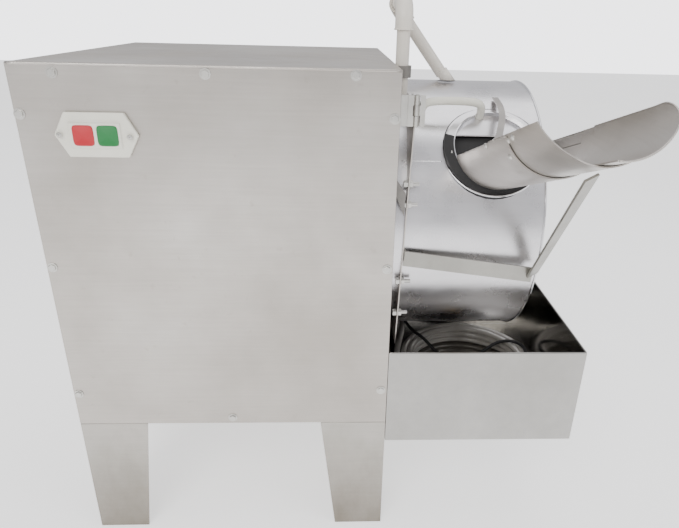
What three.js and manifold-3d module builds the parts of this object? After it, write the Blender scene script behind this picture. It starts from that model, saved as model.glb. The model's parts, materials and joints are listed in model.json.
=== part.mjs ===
// Drum-type fruit crusher and destemmer: sheet-steel drive cabinet with a side drum, feed chute and catch tray.
// Millimetres, +Z up. X runs along the cabinet front, Y runs back; the model ends centred over its own footprint.
import * as THREE from 'three';
import { mergeVertices } from 'three/addons/utils/BufferGeometryUtils.js';
import Module from 'manifold-3d';

const wasm = await Module();
wasm.setup();

// ---- driving dimensions ----
const gap = 0.3;              // clearance between touching pieces
const fit = 0.6;              // running clearance round a shaft or button
const cabinetWidth = 480;
const cabinetDepth = 492;
const cabinetHeight = 538;
const legHeight = 217;
const legTopWidth = 104;
const legFootWidth = 80;
const sheet = 1.5;            // cabinet and drum sheet
const legSheet = 2.5;
const lip = 18;               // inward lip round the two cabinet windows

const drumRadius = 211.5;
const drumLength = 218;
const drumAxisY = 245;
const drumAxisZ = 508;
const drumStart = cabinetWidth + 3;
const flangeSheet = 1.6;
const flangeX = cabinetWidth + 17;   // where the flange plate crosses the drum axis
const flangeFrontY = 29;
const flangeLean = 1.8;       // degrees, top away from the cabinet
const flangeBottom = 346;
const flangeTop = 712;
const flangeRim = 12;
const drumSwingY = 22;        // pivot line of the front hinge
const drumSwingX = flangeX + 6;

const portAngle = 39.4;       // degrees up from the front
const portOffset = 143;       // from the drum's cabinet end
const portRadius = 71.5;
const portProud = 12.5;
const dischargeWidth = 120;
const dischargeLength = 150;
const waterHole = 16;

const chuteLift = 20.1;       // degrees above level
const chuteSwing = 6.1;       // degrees towards the free end
const chuteRadius = 65;
const chuteReach = 190;       // from the drum skin to the end of the upper trough

const shaftRadius = 15;
const rotorRadius = 80;
const rotorLength = 168;
const fingerReach = 72;
const motorRadius = 76;
const motorLength = 225;
const motorPulleyRadius = 42;
const drivenPulleyRadius = 105;
const beltWidth = 12;
const pulleyX = 92;

const trayLength = 307;
const trayDepth = 385;
const trayHeight = 166;
const trayBottom = 180;

const pipeRadius = 9.5;
const pipeBore = 7.5;
const socketRadius = 12.5;
const socketDepth = 12;
const elbowArm = 34;           // corner to the lip of a socket
const elbowBend = 20;          // radius of the bend
const riserY = 115;
const riserX = cabinetWidth + 11;
const riserBottom = 693;
const elbowZ = 833;
const backRun = 250;          // Y of the second elbow
const pipeDropX = 580;        // where the sloping pipe reaches the drum top
const degrees = Math.PI / 180;

// ---- materials ----
const steel = (color, roughness) => new THREE.MeshStandardMaterial({ color, roughness, metalness: 0.9 });
const plastic = (color, roughness) => new THREE.MeshStandardMaterial({ color, roughness, metalness: 0 });
const brushedSteel = steel(0xc6c1bb, 0.35);
const mirrorSteel = steel(0xdcd9d6, 0.18);
const dullSteel = steel(0x75736a, 0.45);
const castIron = steel(0x4c4f52, 0.6);
const motorPaint = plastic(0x31566e, 0.5);
const brass = steel(0xb58f43, 0.35);
const blackRubber = plastic(0x17181a, 0.8);
const whitePipe = plastic(0xe2ddd2, 0.4);
const creamPlastic = plastic(0xe2e0cf, 0.45);
const redPlastic = plastic(0xcb3441, 0.4);
const greenPlastic = plastic(0x197f35, 0.4);
const clearHose = plastic(0xb9b4ae, 0.35);

// ---- solids ----
function toSolid(geometry) {
  const bare = geometry.clone();
  bare.deleteAttribute('normal');
  bare.deleteAttribute('uv');
  const merged = mergeVertices(bare, 1e-4);
  return new wasm.Manifold(new wasm.Mesh({
    numProp: 3,
    vertProperties: new Float32Array(merged.attributes.position.array),
    triVerts: new Uint32Array(merged.index.array),
  }));
}

function toGeometry(solid) {
  const raw = solid.getMesh();
  const geometry = new THREE.BufferGeometry();
  geometry.setAttribute('position', new THREE.BufferAttribute(new Float32Array(raw.vertProperties), 3));
  geometry.setIndex(new THREE.BufferAttribute(new Uint32Array(raw.triVerts), 1));
  return geometry;
}

const cut = (base, ...tools) => tools.reduce((body, tool) => body.subtract(toSolid(tool)), toSolid(base));
const carve = (body, ...tools) => tools.reduce((rest, tool) => rest.subtract(toSolid(tool)), body);
const join = (first, ...rest) => rest.reduce((body, extra) => body.add(toSolid(extra)), toSolid(first));

function block(x0, x1, y0, y1, z0, z1) {
  const geometry = new THREE.BoxGeometry(x1 - x0, y1 - y0, z1 - z0);
  return geometry.translate((x0 + x1) / 2, (y0 + y1) / 2, (z0 + z1) / 2);
}

function rodX(radius, x0, x1, y, z, sides = 32) {
  const geometry = new THREE.CylinderGeometry(radius, radius, x1 - x0, sides);
  return geometry.rotateZ(-Math.PI / 2).translate((x0 + x1) / 2, y, z);
}

function rodY(radius, y0, y1, x, z, sides = 32) {
  return new THREE.CylinderGeometry(radius, radius, y1 - y0, sides).translate(x, (y0 + y1) / 2, z);
}

function rodZ(radius, z0, z1, x, y, sides = 32) {
  const geometry = new THREE.CylinderGeometry(radius, radius, z1 - z0, sides);
  return geometry.rotateX(Math.PI / 2).translate(x, y, (z0 + z1) / 2);
}

function outline(points) {
  return new THREE.Shape(points.map(([a, b]) => new THREE.Vector2(a, b)));
}

// a flat outline given in (Y, Z), from x0 to x1
function plateX(shape, x0, x1) {
  const geometry = new THREE.ExtrudeGeometry(shape, { depth: x1 - x0, bevelEnabled: false, curveSegments: 18 });
  const turn = new THREE.Matrix4().set(0, 0, 1, x0, 1, 0, 0, 0, 0, 1, 0, 0, 0, 0, 0, 1);
  return geometry.applyMatrix4(turn);
}

// a flat outline given in (X, Z), from y0 to y1
function plateY(shape, y0, y1) {
  const geometry = new THREE.ExtrudeGeometry(shape, { depth: y1 - y0, bevelEnabled: false, curveSegments: 24 });
  return geometry.rotateX(Math.PI / 2).translate(0, y1, 0);
}

function sweep(points, radius, sides, steps) {
  const path = new THREE.CatmullRomCurve3(points.map((p) => new THREE.Vector3(...p)), false, 'centripetal');
  const section = new THREE.Shape();
  for (let i = 0; i < sides; i += 1) {
    const angle = (i / sides) * 2 * Math.PI;
    const corner = new THREE.Vector2(radius * Math.cos(angle), radius * Math.sin(angle));
    if (i === 0) section.moveTo(corner.x, corner.y);
    else section.lineTo(corner.x, corner.y);
  }
  return new THREE.ExtrudeGeometry(section, { extrudePath: path, steps, bevelEnabled: false });
}

function pipeBetween(a, b, radius, sides = 16) {
  const from = new THREE.Vector3(...a);
  const to = new THREE.Vector3(...b);
  const length = from.distanceTo(to);
  const turn = new THREE.Quaternion().setFromUnitVectors(new THREE.Vector3(0, 1, 0), to.clone().sub(from).normalize());
  const geometry = new THREE.CylinderGeometry(radius, radius, length, sides).applyQuaternion(turn);
  return geometry.translate(...from.add(to).multiplyScalar(0.5).toArray());
}

// a lathe turned about an axis parallel to X; profile in (radius, x)
function latheX(profile, y, z, sides = 36) {
  const geometry = new THREE.LatheGeometry(profile.map(([r, x]) => new THREE.Vector2(r, x)), sides);
  return geometry.rotateZ(-Math.PI / 2).translate(0, y, z);
}

const machine = new THREE.Group();

function add(name, shape, material) {
  const geometry = shape.isBufferGeometry ? shape : toGeometry(shape);
  const mesh = new THREE.Mesh(geometry, material);
  mesh.name = name;
  machine.add(mesh);
  return mesh;
}

// ---- cabinet ----
const cabinetTop = legHeight + cabinetHeight;
const shellFront = sheet + gap;
const shellBack = cabinetDepth - sheet - gap;
const switchX = 98;
const switchZ = legHeight + 453;
const glandY = 300;
const glandZ = 265;
const inletY = 345;
const inletZ = 300;

function cabinetShell() {
  return cut(
    block(0, cabinetWidth, shellFront, shellBack, legHeight, cabinetTop),
    block(sheet, cabinetWidth - sheet, shellFront + sheet, shellBack - sheet, legHeight + sheet, cabinetTop - sheet),
    block(lip, cabinetWidth - lip, 0, shellFront + 2 * sheet, legHeight + lip, cabinetTop - lip),
    block(lip, cabinetWidth - lip, shellBack - 2 * sheet, cabinetDepth, legHeight + lip, cabinetTop - lip),
    rodX(shaftRadius + 14, cabinetWidth - 5, cabinetWidth + 5, drumAxisY, drumAxisZ),
    rodX(pipeRadius + 2, cabinetWidth - 5, cabinetWidth + 5, riserY, riserBottom, 20),
    rodX(9, cabinetWidth - 5, cabinetWidth + 5, glandY, glandZ),
    rodX(8, cabinetWidth - 5, cabinetWidth + 5, inletY, inletZ),
  );
}

function rearPanel() {
  const plate = block(0, cabinetWidth, cabinetDepth - sheet, cabinetDepth, legHeight, cabinetTop);
  const slots = [];
  for (let row = 0; row < 7; row += 1) {
    for (const centre of [cabinetWidth * 0.32, cabinetWidth * 0.68]) {
      const z = legHeight + 70 + row * 18;
      slots.push(block(centre - 45, centre + 45, cabinetDepth - 5, cabinetDepth + 5, z, z + 6));
    }
  }
  return cut(plate, ...slots);
}

// folded, tapered corner leg: two faces and a top flange
function leg(atRight, atBack) {
  const top = legHeight - gap;
  const face = outline([[0, 0], [legFootWidth, 0], [legTopWidth, top], [0, top]]);
  const front = plateY(face, 0, legSheet);
  const side = plateX(face, 0, legSheet);
  const flange = block(0, legTopWidth * 0.6, 0, legTopWidth * 0.6, top - legSheet, top);
  const solid = join(front, side, flange);
  const mirrored = solid.scale([atRight ? -1 : 1, atBack ? -1 : 1, 1]);
  return mirrored.translate([atRight ? cabinetWidth : 0, atBack ? cabinetDepth : 0, 0]);
}

add('cabinet_shell', cabinetShell(), brushedSteel);
add('front_panel', cut(
  block(0, cabinetWidth, 0, sheet, legHeight, cabinetTop),
  block(switchX - 36, switchX + 36, -5, 5, switchZ - 18, switchZ + 18),
), brushedSteel);
add('rear_panel', rearPanel(), brushedSteel);
add('leg_front_left', leg(false, false), brushedSteel);
add('leg_front_right', leg(true, false), brushedSteel);
add('leg_rear_left', leg(false, true), brushedSteel);
add('leg_rear_right', leg(true, true), brushedSteel);

// ---- start and stop station ----
const plateThick = 5;
const stationHalfWidth = 52;
const stationHalfHeight = 28;
const buttonSize = 21;
const buttonPitch = 30;
const frameHalfWidth = 31;

function switchPlate() {
  const flat = stationHalfWidth - 15;
  const hexagon = outline([
    [switchX - stationHalfWidth, switchZ], [switchX - flat, switchZ - stationHalfHeight],
    [switchX + flat, switchZ - stationHalfHeight], [switchX + stationHalfWidth, switchZ],
    [switchX + flat, switchZ + stationHalfHeight], [switchX - flat, switchZ + stationHalfHeight],
  ]);
  const holes = [-1, 1].map((side) => {
    const x = switchX + side * buttonPitch / 2;
    const half = buttonSize / 2 + fit;
    return block(x - half, x + half, -plateThick - 9, 5, switchZ - half, switchZ + half);
  });
  const raised = block(
    switchX - frameHalfWidth, switchX + frameHalfWidth, -plateThick - 3 - gap, -1, switchZ - 16, switchZ + 16,
  );
  return carve(join(plateY(hexagon, -plateThick - gap, -gap), raised), ...holes);
}

// square cap with a wider skirt behind the panel
function button(side) {
  const x = switchX + side * buttonPitch / 2;
  const half = buttonSize / 2;
  const skirt = half + 2.5;
  return join(
    block(x - half, x + half, -plateThick - 7, sheet + 2, switchZ - half, switchZ + half),
    block(x - skirt, x + skirt, sheet + 1.5, sheet + 5, switchZ - skirt, switchZ + skirt),
  );
}

function switchBody() {
  const shell = block(switchX - 35, switchX + 35, sheet + gap, 48, switchZ - 17.5, switchZ + 17.5);
  const wells = [-1, 1].map((side) => {
    const x = switchX + side * buttonPitch / 2;
    const half = buttonSize / 2 + 3.2;
    return block(x - half, x + half, -1, 20, switchZ - half, switchZ + half);
  });
  return cut(shell, ...wells);
}

add('switch_plate', switchPlate(), creamPlastic);
add('stop_button', button(-1), redPlastic);
add('start_button', button(1), greenPlastic);
add('switch_body', switchBody(), blackRubber);

// ---- drive inside the cabinet ----
const motorY = drumAxisY + 45;
const motorZ = legHeight + sheet + 22 + motorRadius;
const motorStart = pulleyX + 45;
const beamTop = drumAxisZ - 42;

function motor() {
  const body = rodX(motorRadius, motorStart, motorStart + motorLength, motorY, motorZ, 40);
  const parts = [];
  for (let i = 0; i < 16; i += 1) {
    const angle = (i / 16) * 2 * Math.PI + 0.2;
    const fin = block(motorStart + 40, motorStart + motorLength - 55, -2, 2, motorRadius - 4, motorRadius + 8);
    parts.push(fin.rotateX(angle).translate(0, motorY, motorZ));
  }
  const feetZ = motorZ - motorRadius - 12;
  for (const side of [-1, 1]) {
    const y = motorY + side * motorRadius * 0.72;
    parts.push(block(motorStart + 50, motorStart + 150, y - 16, y + 16, feetZ, motorZ - motorRadius * 0.5));
  }
  parts.push(block(motorStart + 70, motorStart + 140, motorY - 35, motorY + 35, motorZ + motorRadius - 6,
    motorZ + motorRadius + 20));
  return carve(join(body, ...parts), rodX(12 + fit, motorStart - 5, motorStart + 60, motorY, motorZ));
}

function grooved(radius, width, bore) {
  const deep = 9;
  const half = width / 2;
  return [
    [bore, -half], [radius, -half], [radius, -beltWidth / 2 - 2.5], [radius - deep, -beltWidth / 2 - gap],
    [radius - deep, beltWidth / 2 + gap], [radius, beltWidth / 2 + 2.5], [radius, half], [bore, half], [bore, -half],
  ];
}

// open loop of a belt: tangent outline round both pulleys, cut by the same outline made smaller
function beltLoop(inset) {
  const r1 = drivenPulleyRadius - 9 + gap + 9 - inset;
  const r2 = motorPulleyRadius - 9 + gap + 9 - inset;
  const dy = motorY - drumAxisY;
  const dz = motorZ - drumAxisZ;
  const span = Math.hypot(dy, dz);
  const heading = Math.atan2(dz, dy);
  const spread = Math.acos((r1 - r2) / span);
  const loop = new THREE.Shape();
  loop.absarc(drumAxisY, drumAxisZ, r1, heading + spread, heading - spread + 2 * Math.PI, false);
  loop.absarc(motorY, motorZ, r2, heading - spread, heading + spread, false);
  loop.closePath();
  return loop;
}

function driveBelt() {
  const x0 = pulleyX - beltWidth / 2;
  const outer = plateX(beltLoop(0), x0, x0 + beltWidth);
  const inner = plateX(beltLoop(8.5), x0 - 1, x0 + beltWidth + 1);
  return cut(outer, inner);
}

function pillowBlock(x) {
  const base = block(x - 18, x + 18, drumAxisY - 62, drumAxisY + 62, beamTop + gap, beamTop + 16);
  const hump = rodX(36, x - 16, x + 16, drumAxisY, drumAxisZ, 32);
  return carve(join(base, hump), rodX(shaftRadius + gap, x - 30, x + 30, drumAxisY, drumAxisZ));
}

// channel that carries both bearings, with one web standing on the cabinet floor in front of the motor
function bearingBeam() {
  const start = pulleyX + 32;
  const depth = 40;
  const wall = 4;
  const y0 = drumAxisY - 70;
  const y1 = drumAxisY + 70;
  return join(
    block(start, cabinetWidth - sheet - gap, y0, y1, beamTop - wall, beamTop),
    block(start, cabinetWidth - sheet - gap, y1 - wall, y1, beamTop - depth, beamTop),
    block(start, cabinetWidth - sheet - gap, y0, y0 + wall, legHeight + sheet + gap, beamTop),
  );
}

function motorRails() {
  const feetZ = motorZ - motorRadius - 12;
  const rail = (side) => block(
    motorStart + 30, motorStart + 170, motorY + side * motorRadius * 0.72 - 19,
    motorY + side * motorRadius * 0.72 + 19, legHeight + sheet + gap, feetZ - gap,
  );
  const tie = block(motorStart + 80, motorStart + 120, motorY - motorRadius * 0.72, motorY + motorRadius * 0.72,
    legHeight + sheet + gap, legHeight + sheet + 5);
  return join(rail(-1), rail(1), tie);
}

// rubber seal in the cabinet side, flanged on the inside
function shaftSeal() {
  const bore = shaftRadius + gap;
  const neck = shaftRadius + 13.4;
  const inside = -sheet - gap;
  return latheX([
    [bore, inside - 5], [shaftRadius + 24, inside - 5], [shaftRadius + 24, inside], [neck, inside], [neck, 3],
    [bore, 3], [bore, inside - 5],
  ], drumAxisY, drumAxisZ, 32).translate(cabinetWidth, 0, 0);
}

add('motor_body', motor(), motorPaint);
add('motor_rails', motorRails(), dullSteel);
add('motor_shaft', rodX(12, pulleyX - 18, motorStart + 50, motorY, motorZ, 24), mirrorSteel);
add('motor_pulley', latheX(grooved(motorPulleyRadius, 30, 12 + gap), motorY, motorZ).translate(pulleyX, 0, 0), castIron);
add('drive_belt', driveBelt(), blackRubber);
add('driven_pulley', latheX(grooved(drivenPulleyRadius, 30, shaftRadius + gap), drumAxisY, drumAxisZ)
  .translate(pulleyX, 0, 0), castIron);
add('bearing_beam', bearingBeam(), dullSteel);
add('outer_bearing', pillowBlock(pulleyX + 75), castIron);
add('inner_bearing', pillowBlock(cabinetWidth - 60), castIron);
const shaftEnd = drumStart + 25 + rotorLength;
add('main_shaft', rodX(shaftRadius, pulleyX - 22, shaftEnd, drumAxisY, drumAxisZ, 32), mirrorSteel);
add('shaft_seal', shaftSeal(), blackRubber);

// ---- beater rotor ----
const rotorStart = drumStart + 22;

function beaterDrum() {
  const skin = latheX([
    [shaftRadius + gap, 0], [rotorRadius, 0], [rotorRadius, rotorLength], [shaftRadius + gap, rotorLength],
    [shaftRadius + gap, rotorLength - 6], [rotorRadius - 3, rotorLength - 6], [rotorRadius - 3, 6],
    [shaftRadius + 12, 6], [shaftRadius + 12, 30], [shaftRadius + gap, 30], [shaftRadius + gap, 0],
  ], drumAxisY, drumAxisZ, 36).translate(rotorStart, 0, 0);
  const vent = rodX(6, rotorStart - 5, rotorStart + 10, drumAxisY + 42, drumAxisZ, 16);
  return cut(skin, vent);
}

// a bar screwed along the drum, carrying a row of rubber fingers; alternate bars are staggered
function fingerBar(index, count) {
  const length = rotorLength - 16;
  const bar = block(8, 8 + length, -9, 9, rotorRadius + fit, rotorRadius + 9);
  const fingers = [];
  const pitch = 28;
  const shift = (index % 2) * pitch * 0.5;
  for (let x = 22 + shift; x < length; x += pitch) {
    fingers.push(rodZ(6, rotorRadius + 5, rotorRadius + fingerReach, x, 0, 12));
  }
  const turn = (index / count) * 2 * Math.PI;
  const solid = join(bar, ...fingers);
  return toGeometry(solid).rotateX(turn).translate(rotorStart, drumAxisY, drumAxisZ);
}

add('beater_drum', beaterDrum(), mirrorSteel);
const fingerBars = 3;
for (let i = 0; i < fingerBars; i += 1) add(`finger_bar_${i + 1}`, fingerBar(i, fingerBars), blackRubber);

// ---- drum ----
const drumEnd = drumStart + drumLength;
const portX = drumStart + portOffset;
const portNormal = new THREE.Vector3(0, -Math.cos(portAngle * degrees), Math.sin(portAngle * degrees));
const drumCentre = (x) => new THREE.Vector3(x, drumAxisY, drumAxisZ);
const alongPort = (distance) => drumCentre(portX).addScaledVector(portNormal, distance).toArray();

function drumShell() {
  const skin = latheX([
    [drumRadius - sheet, 0], [drumRadius, 0], [drumRadius, drumLength], [drumRadius - sheet, drumLength],
    [drumRadius - sheet, 0],
  ], drumAxisY, drumAxisZ, 72).translate(drumStart, 0, 0);
  const middle = drumStart + drumLength / 2 + 8;
  return cut(
    skin,
    pipeBetween(alongPort(150), alongPort(drumRadius + 30), portRadius + sheet + 2 * gap, 36),
    block(middle - dischargeLength / 2, middle + dischargeLength / 2, drumAxisY - dischargeWidth / 2,
      drumAxisY + dischargeWidth / 2, drumAxisZ - drumRadius - 5, drumAxisZ - 100),
    rodZ(waterHole, drumAxisZ + 100, drumAxisZ + drumRadius + 20, pipeDropX, backRun, 24),
  );
}

function endCover() {
  const dish = latheX([
    [0, gap], [drumRadius, gap], [drumRadius, gap + sheet], [0, gap + sheet],
  ], drumAxisY, drumAxisZ, 64).translate(drumEnd, 0, 0);
  return toSolid(dish);
}

function portCollar() {
  const outer = pipeBetween(alongPort(188), alongPort(drumRadius + portProud), portRadius + sheet, 36);
  const bore = pipeBetween(alongPort(150), alongPort(drumRadius + 40), portRadius, 36);
  return cut(outer, bore);
}

// rubber lining of the port: the lower part of a sleeve, hanging a little way into the drum
function rubberLiner() {
  const outer = pipeBetween(alongPort(178), alongPort(drumRadius + portProud - 14), portRadius - gap, 36);
  const bore = pipeBetween(alongPort(150), alongPort(drumRadius + 40), portRadius - 4, 36);
  const upper = block(portX - 100, portX + 100, -200, 300, alongPort(drumRadius)[2] + 22, 900);
  return cut(outer, bore, upper);
}

function flangePlate() {
  const flat = new THREE.Shape();
  flat.absarc(drumAxisY, drumAxisZ, drumRadius + flangeRim, 0, 2 * Math.PI, false);
  const ring = toSolid(plateX(flat, -flangeSheet / 2, flangeSheet / 2));
  const strip = toSolid(block(-flangeSheet / 2, flangeSheet / 2, flangeFrontY, drumAxisY - 60, flangeBottom, flangeTop));
  const limits = toSolid(block(-5, 5, flangeFrontY, drumAxisY, flangeBottom, flangeTop));
  const plate = toGeometry(ring.add(strip).intersect(limits));
  plate.translate(0, 0, -drumAxisZ).rotateY(flangeLean * degrees).translate(flangeX, 0, drumAxisZ);
  return cut(plate, rodX(drumRadius + 2 * gap, drumStart - 9, drumEnd, drumAxisY, drumAxisZ, 72),
    ...studs.map(([y, z]) => rodX(studRadius + gap, drumStart - 9, drumEnd, y, z, 20)));
}

const studRadius = 3;
const studs = [[36, 601], [36, 571], [34.4, 452], [36, 398]];
const flangeAt = (z) => flangeX + Math.tan(flangeLean * degrees) * (z - drumAxisZ);

// bolt through the flange with a nut on each side
function flangeStud(y, z) {
  const face = flangeAt(z);
  const nut = (x0, x1) => rodX(studRadius * 1.9, x0, x1, y, z, 6);
  return join(
    rodX(studRadius, face - 7, face + 15, y, z, 16),
    nut(face - 7, face - flangeSheet / 2 - 0.6),
    nut(face + flangeSheet / 2 + 0.6, face + 6),
  );
}

add('drum_shell', drumShell(), mirrorSteel);
add('drum_end_cover', endCover(), mirrorSteel);
add('flange_plate', flangePlate(), brushedSteel);
studs.forEach(([y, z], i) => add(`flange_bolt_${i + 1}`, flangeStud(y, z), mirrorSteel));
add('port_collar', portCollar(), mirrorSteel);
add('port_liner', rubberLiner(), blackRubber);

// ---- drum hinge ----
const hingeBottom = 683;
const hingeTop = 723;
const hingePinRadius = 2.2;
const hingeBarrel = 4;

function hingeLeaf(side) {
  const barrels = side < 0 ? [[0, 0.34], [0.68, 1]] : [[0.35, 0.67]];
  const height = hingeTop - hingeBottom;
  const x0 = drumSwingX + side * (hingeBarrel + 1);
  const x1 = drumSwingX + side * 11.5;
  const parts = barrels.map(([a, b]) => rodZ(hingeBarrel, hingeBottom + a * height, hingeBottom + b * height,
    drumSwingX, drumSwingY, 20));
  for (const [a, b] of barrels) {
    parts.push(block(Math.min(drumSwingX, x0), Math.max(drumSwingX, x0), drumSwingY - 1, drumSwingY + 1,
      hingeBottom + a * height, hingeBottom + b * height));
  }
  const leaf = block(Math.min(x0, x1), Math.max(x0, x1), drumSwingY - 1, drumSwingY + 1, hingeBottom, hingeTop);
  return carve(join(leaf, ...parts, ...(side < 0 ? hingeBracket() : hingeArm())),
    rodZ(hingePinRadius + gap / 2, hingeBottom - 5, hingeTop + 5, drumSwingX, drumSwingY, 20),
    rodX(drumRadius + 2 * gap, drumStart, drumEnd, drumAxisY, drumAxisZ, 72));
}

// bent bracket from the cabinet side to the fixed leaf
function hingeBracket() {
  const x1 = drumSwingX - 6;
  const back = drumSwingY + 0.5;
  return [
    block(cabinetWidth + gap, cabinetWidth + gap + 2, back, back + 42, hingeBottom, hingeTop),
    block(cabinetWidth + gap, x1, back, back + 2, hingeBottom, hingeTop),
  ];
}

// short arm from the moving leaf back to the drum skin
function hingeArm() {
  const x0 = drumSwingX + 9;
  return [block(x0, x0 + 2, drumSwingY, drumAxisY - 90, hingeBottom, hingeTop - 14)];
}

add('hinge_leaf_fixed', hingeLeaf(-1), mirrorSteel);
add('hinge_leaf_moving', hingeLeaf(1), mirrorSteel);
add('hinge_pin', rodZ(hingePinRadius, hingeBottom - 1, hingeTop + 1, drumSwingX, drumSwingY, 20), mirrorSteel);

// ---- feed chute: three nested troughs on one sloping axis ----
const chuteAxis = new THREE.Vector3(
  Math.sin(chuteSwing * degrees) * Math.cos(chuteLift * degrees),
  -Math.cos(chuteSwing * degrees) * Math.cos(chuteLift * degrees),
  Math.sin(chuteLift * degrees),
);
const chuteUp = new THREE.Vector3(0, 0, 1).addScaledVector(chuteAxis, -chuteAxis.z).normalize();
const chuteRight = new THREE.Vector3().crossVectors(chuteUp, chuteAxis);
const chuteOrigin = drumCentre(portX + 1).addScaledVector(portNormal, drumRadius - 1).add(new THREE.Vector3(0, 3, 4));
const chuteFrame = new THREE.Matrix4().makeBasis(chuteRight, chuteUp, chuteAxis).setPosition(chuteOrigin);

// point of the chute at a distance along it, an angle round it (0 right, -90 down) and a radius
function onChute(along, angle, radius) {
  const local = new THREE.Vector3(radius * Math.cos(angle * degrees), radius * Math.sin(angle * degrees), along);
  return local.applyMatrix4(chuteFrame);
}

// trough wall between two angles, cut to a side outline given in (along, height)
function trough(radius, fromAngle, toAngle, side) {
  const wall = new THREE.Shape();
  wall.absarc(0, 0, radius, fromAngle * degrees, toAngle * degrees, false);
  wall.absarc(0, 0, radius - sheet, toAngle * degrees, fromAngle * degrees, true);
  wall.closePath();
  const length = 520;
  const pipe = new THREE.ExtrudeGeometry(wall, { depth: length, bevelEnabled: false, curveSegments: 22 });
  pipe.translate(0, 0, -60);
  const profile = new THREE.ExtrudeGeometry(side, { depth: 400, bevelEnabled: false, curveSegments: 10 });
  const turn = new THREE.Matrix4().set(0, 0, 1, -200, 0, 1, 0, 0, 1, 0, 0, 0, 0, 0, 0, 1);
  profile.applyMatrix4(turn);
  profile.index = null;
  const solid = toSolid(pipe).intersect(positive(profile));
  return toGeometry(solid).applyMatrix4(chuteFrame);
}

// a side outline turned across the chute comes out mirrored; its triangles are flipped to face out
function positive(geometry) {
  const p = geometry.attributes.position.array;
  for (let i = 0; i < p.length; i += 9) {
    for (let k = 0; k < 3; k += 1) {
      const keep = p[i + 3 + k];
      p[i + 3 + k] = p[i + 6 + k];
      p[i + 6 + k] = keep;
    }
  }
  return toSolid(geometry);
}

const chuteEnd = chuteReach;
const baseStart = 22;
const baseEnd = chuteEnd + 7;
const nest = sheet + 0.9;      // step in radius between nested troughs

function baseSide() {
  return outline([[baseStart, -80], [baseEnd, -80], [baseEnd, 10], [baseStart, 10]]);
}

function middleSide() {
  return outline([[chuteEnd - 50, -80], [chuteEnd + 108, -80], [chuteEnd + 104, -52], [chuteEnd + 76, -4],
    [chuteEnd + 72, 10], [chuteEnd - 50, 10]]);
}

function scoopSide() {
  const corner = 35;
  const mouth = chuteEnd + 134;
  const side = new THREE.Shape();
  side.moveTo(chuteEnd - 20, -80);
  side.lineTo(mouth, -80);
  side.lineTo(mouth, -corner);
  side.absarc(mouth - corner, -corner, corner, 0, Math.PI / 2, false);
  side.lineTo(chuteEnd - 20, 0.5);
  side.closePath();
  return side;
}

add('chute_base', trough(chuteRadius, 195, 345, baseSide()), brushedSteel);
add('chute_middle', trough(chuteRadius - nest, 193, 359, middleSide()), brushedSteel);
add('feed_scoop', trough(chuteRadius - 2 * nest, 262, 359.5, scoopSide()), brushedSteel);

// ---- support bar: flat bar across the drum front, folded up to the chute ----
const barWidth = 23;
const barThick = 3;

// flat bar between two points, its width along a given direction
function flatBar(a, b, across, width, thick) {
  const along = b.clone().sub(a);
  const length = along.length();
  along.normalize();
  const wide = across.clone().addScaledVector(along, -across.dot(along)).normalize();
  const normal = new THREE.Vector3().crossVectors(along, wide);
  const bar = new THREE.BoxGeometry(width, thick, length);
  const frame = new THREE.Matrix4().makeBasis(wide, normal, along);
  return bar.applyMatrix4(frame).translate(...a.clone().add(b).multiplyScalar(0.5).toArray());
}

const strapStart = new THREE.Vector3(flangeAt(492) + flangeSheet, 26, 492);
const strapBend = new THREE.Vector3(drumEnd - 13, 17, 471);
const strutFoot = onChute(chuteEnd + 52, 258, chuteRadius + 3.4).clone();
strutFoot.copy(onChute(chuteEnd + 52, -78, chuteRadius + 3.4));

function supportBar() {
  const upright = new THREE.Vector3(0, 0, 1);
  const strap = flatBar(strapStart, strapBend, upright, barWidth, barThick);
  const strut = flatBar(strapBend, strutFoot, new THREE.Vector3(1, 0.4, 0.3), barWidth * 0.8, barThick);
  const tab = block(strapStart.x, strapStart.x + barThick, strapStart.y, drumAxisY - drumRadius - 0.8,
    strapStart.z - barWidth / 2, strapStart.z + barWidth / 2);
  return join(strap, strut, tab);
}

// strap that hangs the chute's near rim from the top of the drum
function hangerStrap() {
  const rim = onChute(chuteEnd - 54, 197, chuteRadius + 8);
  const skin = (y) => drumAxisZ + Math.sqrt(drumRadius ** 2 - (drumAxisY - y) ** 2);
  const points = [
    [639, 164, skin(164) + 3], [638, 154, skin(154) + 12], [634, 128, skin(128) + 33], [627, 88, 714],
    [616, 30, 703], [603, -24, 691],
    rim.toArray(),
  ];
  const path = new THREE.CatmullRomCurve3(points.map((p) => new THREE.Vector3(...p)), false, 'centripetal');
  const steps = 9;
  const bars = [];
  const across = new THREE.Vector3(1, 0.15, 0.35).normalize();
  for (let i = 0; i < steps; i += 1) {
    const a = path.getPointAt(i / steps);
    const b = path.getPointAt((i + 1) / steps);
    const over = b.clone().sub(a).normalize().multiplyScalar(0.6);
    bars.push(flatBar(a.clone().sub(i > 0 ? over : new THREE.Vector3()), b.clone().add(over), across, 9, 1.6));
  }
  const clear = new THREE.Shape();
  clear.absarc(0, 0, chuteRadius + gap, 194 * degrees, 346 * degrees, false);
  clear.closePath();
  const inside = new THREE.ExtrudeGeometry(clear, { depth: 300, bevelEnabled: false, curveSegments: 30 });
  inside.applyMatrix4(chuteFrame);
  return carve(join(...bars), inside);
}

add('support_bar', supportBar(), dullSteel);
add('hanger_strap', hangerStrap(), brushedSteel);

// ---- drum handle ----
const handleRadius = 6;
const handleY = 108;
const handleZ = 701;

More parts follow.
